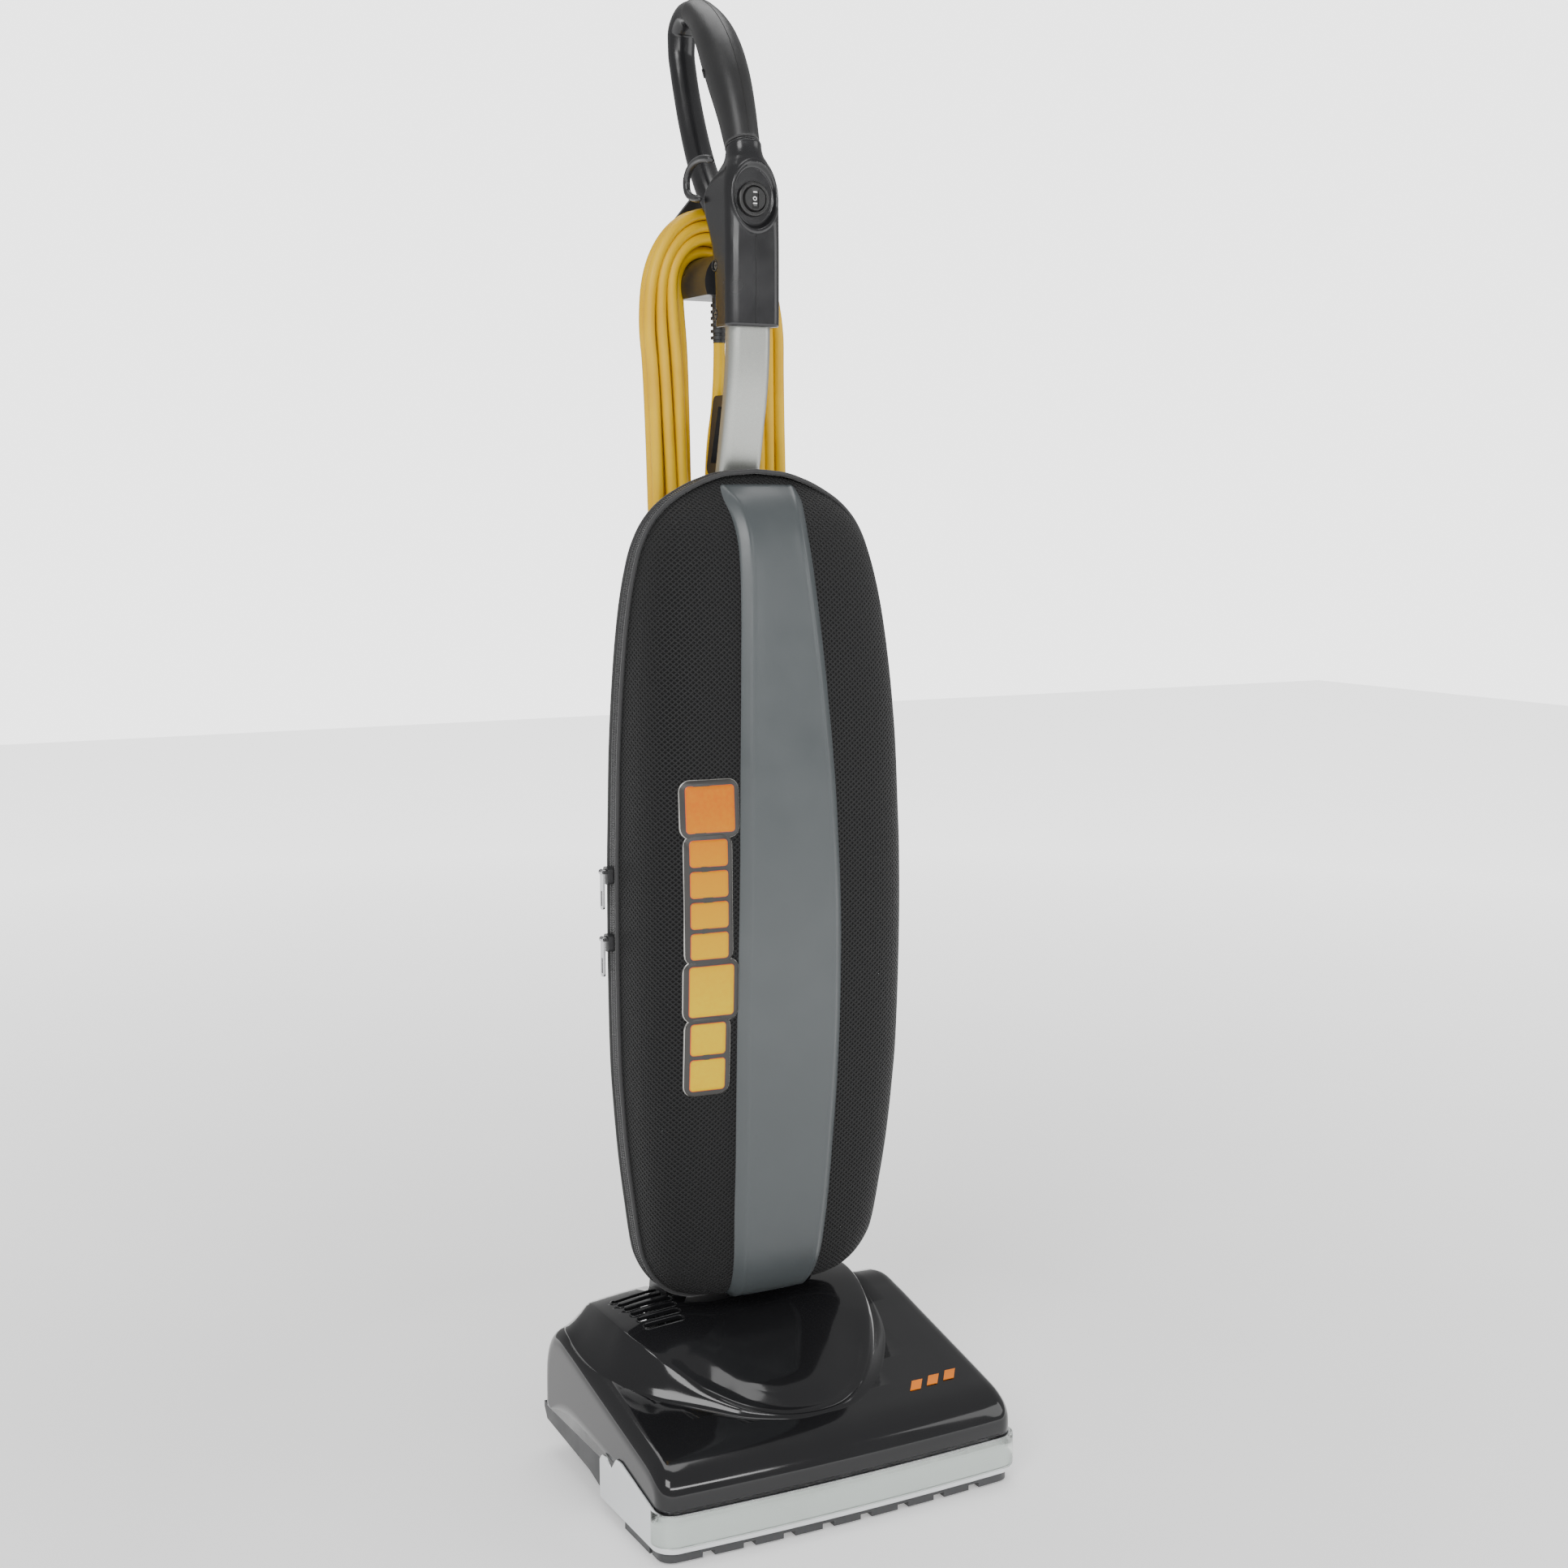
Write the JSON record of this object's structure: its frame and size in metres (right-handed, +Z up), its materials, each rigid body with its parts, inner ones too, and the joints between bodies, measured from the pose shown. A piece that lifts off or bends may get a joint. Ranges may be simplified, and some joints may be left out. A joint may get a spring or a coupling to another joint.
{
  "type": "upright vacuum cleaner",
  "caption": "Commercial upright vacuum cleaner with metal-guarded nozzle, reclining loop handle, zippered mesh bag housing and long power cord on rear hooks.",
  "frame": {"origin": "on the floor, under the middle of the cleaner standing upright, measured without its cord", "axes": "+Z up, the nozzle faces -Y, +X is the cleaner's left hand side seen from the front, opposite the plaque and the zipper pulls"},
  "size_m": [0.3258, 0.2983, 1.2003],
  "materials": {
    "hood_black": "gloss",
    "pan_black": "matte",
    "badge_orange": "gloss",
    "guard_zinc": "satin",
    "bumper_vinyl": "satin",
    "glide_grey": "matte",
    "plate_steel": "satin",
    "steel": "satin",
    "rubber_black": "matte",
    "belt_rubber": "matte",
    "fan_amber": "gloss",
    "duct_grey": "matte",
    "dowel_wood": "lacquered",
    "bristle": "matte",
    "wheel_grey": "matte",
    "tyre": "matte",
    "pedal_black": "matte",
    "yoke_cast": "satin",
    "tube_aluminium": "satin",
    "handle_black": "gloss",
    "grip_soft": "matte",
    "switch_black": "gloss",
    "screw_steel": "polished",
    "hook_black": "matte",
    "shell_mesh": "fabric covered",
    "spine_blue_grey": "satin",
    "plaque_grey": "satin",
    "zip_tape": "woven",
    "zip_chrome": "polished",
    "bag_paper": "matte",
    "collar_card": "matte",
    "cord_yellow": "satin",
    "relief_black": "matte"
  },
  "bodies": {
    "base": {"base_pan": "pan_black", "top_hood": "hood_black", "hood_badge": "badge_orange", "nozzle_guard": "guard_zinc", "furniture_bumper": "bumper_vinyl", "glide_strip": "glide_grey", "brush_cover_plate": "plate_steel", "motor_case": "steel", "motor_mounts": "rubber_black", "drive_belt": "belt_rubber", "fan_housing_inner": "duct_grey", "fan_housing_outer": "duct_grey", "intake_duct": "duct_grey", "outlet_duct": "duct_grey", "brush_end_caps": "duct_grey", "axles": "steel", "pivot_bracket": "steel", "pedal_bracket": "steel"},
    "rotor": {"motor_shaft": "steel", "dirt_fan": "fan_amber", "drive_pulley": "steel"},
    "brush": {"brush_dowel": "dowel_wood", "brush_tufts": "bristle"},
    "wheel_left": {"rear_wheel_left": "wheel_grey", "rear_tyre_left": "tyre"},
    "wheel_right": {"rear_wheel_right": "wheel_grey", "rear_tyre_right": "tyre"},
    "roller_left": {"front_roller_left": "wheel_grey"},
    "roller_right": {"front_roller_right": "wheel_grey"},
    "pedal": {"release_pedal": "pedal_black"},
    "handle": {"handle_yoke": "yoke_cast", "handle_tube": "tube_aluminium", "handle_shell_left": "handle_black", "handle_shell_right": "handle_black", "soft_grip": "grip_soft", "switch_bezel": "switch_black", "switch_body": "switch_black", "housing_screws": "screw_steel", "cord_outlet_block": "hook_black", "cord_hook_lower": "hook_black", "cord_ring": "hook_black", "carry_handle": "hook_black", "strain_relief": "relief_black", "bag_back_shell": "shell_mesh", "zipper_tape_rear": "zip_tape", "bag_collar": "collar_card", "filter_bag": "bag_paper", "cord_lead": "cord_yellow", "cord_hank": "cord_yellow", "cord_plug": "cord_yellow"},
    "rocker": {"switch_rocker": "switch_black"},
    "hook": {"cord_hook_upper": "hook_black"},
    "door": {"bag_front_shell": "shell_mesh", "spine_panel": "spine_blue_grey", "shell_plaque": "plaque_grey", "zipper_tape_front": "zip_tape"},
    "slider_upper": {"zip_slider_upper": "zip_chrome"},
    "slider_lower": {"zip_slider_lower": "zip_chrome"},
    "pull_upper": {"zip_pull_upper": "zip_chrome"},
    "pull_lower": {"zip_pull_lower": "zip_chrome"}
  },
  "joints": [
    {"name": "handle_recline", "type": "hinge", "parent": "base", "child": "handle", "pos_m": [0, 0.068, 0.074], "axis": [-1, 0, 0], "range_deg": [0, 78]},
    {"name": "motor_spin", "type": "hinge", "parent": "base", "child": "rotor", "pos_m": [0, 0, 0.072], "axis": [1, 0, 0], "continuous": true},
    {"name": "brush_spin", "type": "hinge", "parent": "base", "child": "brush", "pos_m": [0, -0.092, 0.033], "axis": [1, 0, 0], "continuous": true},
    {"name": "wheel_left_spin", "type": "hinge", "parent": "base", "child": "wheel_left", "pos_m": [-0.128, 0.064, 0.03], "axis": [1, 0, 0], "continuous": true},
    {"name": "wheel_right_spin", "type": "hinge", "parent": "base", "child": "wheel_right", "pos_m": [0.128, 0.064, 0.03], "axis": [1, 0, 0], "continuous": true},
    {"name": "roller_left_spin", "type": "hinge", "parent": "base", "child": "roller_left", "pos_m": [-0.1, -0.05, 0.011], "axis": [1, 0, 0], "continuous": true},
    {"name": "roller_right_spin", "type": "hinge", "parent": "base", "child": "roller_right", "pos_m": [0.1, -0.05, 0.011], "axis": [1, 0, 0], "continuous": true},
    {"name": "pedal_press", "type": "hinge", "parent": "base", "child": "pedal", "pos_m": [-0.093, 0.09, 0.042], "axis": [-1, 0, 0], "range_deg": [0, 14], "stiffness_Nm_per_rad": 0.6, "springref_deg": -5.73},
    {"name": "switch_tilt", "type": "hinge", "parent": "handle", "child": "rocker", "pos_m": [0, 0.016, 1.028], "axis": [1, 0, 0], "range_deg": [-12, 12]},
    {"name": "hook_swivel", "type": "hinge", "parent": "handle", "child": "hook", "pos_m": [0, 0.108, 0.967], "axis": [0, 1, 0], "range_deg": [-180, 180]},
    {"name": "door_open", "type": "hinge", "parent": "handle", "child": "door", "pos_m": [0.1246, 0.02, 0.481], "axis": [0, 0, 1], "range_deg": [0, 110]},
    {"name": "zip_upper_slide", "type": "slide", "parent": "handle", "child": "slider_upper", "axis": [0, 0, 1], "range_m": [0, 0.06]},
    {"name": "zip_lower_slide", "type": "slide", "parent": "handle", "child": "slider_lower", "axis": [0, 0, 1], "range_m": [-0.06, 0]},
    {"name": "pull_upper_swing", "type": "hinge", "parent": "slider_upper", "child": "pull_upper", "pos_m": [-0.1323, 0.02, 0.503], "axis": [0, 1, 0], "range_deg": [0, 150]},
    {"name": "pull_lower_swing", "type": "hinge", "parent": "slider_lower", "child": "pull_lower", "pos_m": [-0.1323, 0.02, 0.449], "axis": [0, 1, 0], "range_deg": [0, 150]}
  ],
  "couplings": [
    {"joint": "brush_spin", "follows": "motor_spin", "ratio": 0.4444}
  ]
}
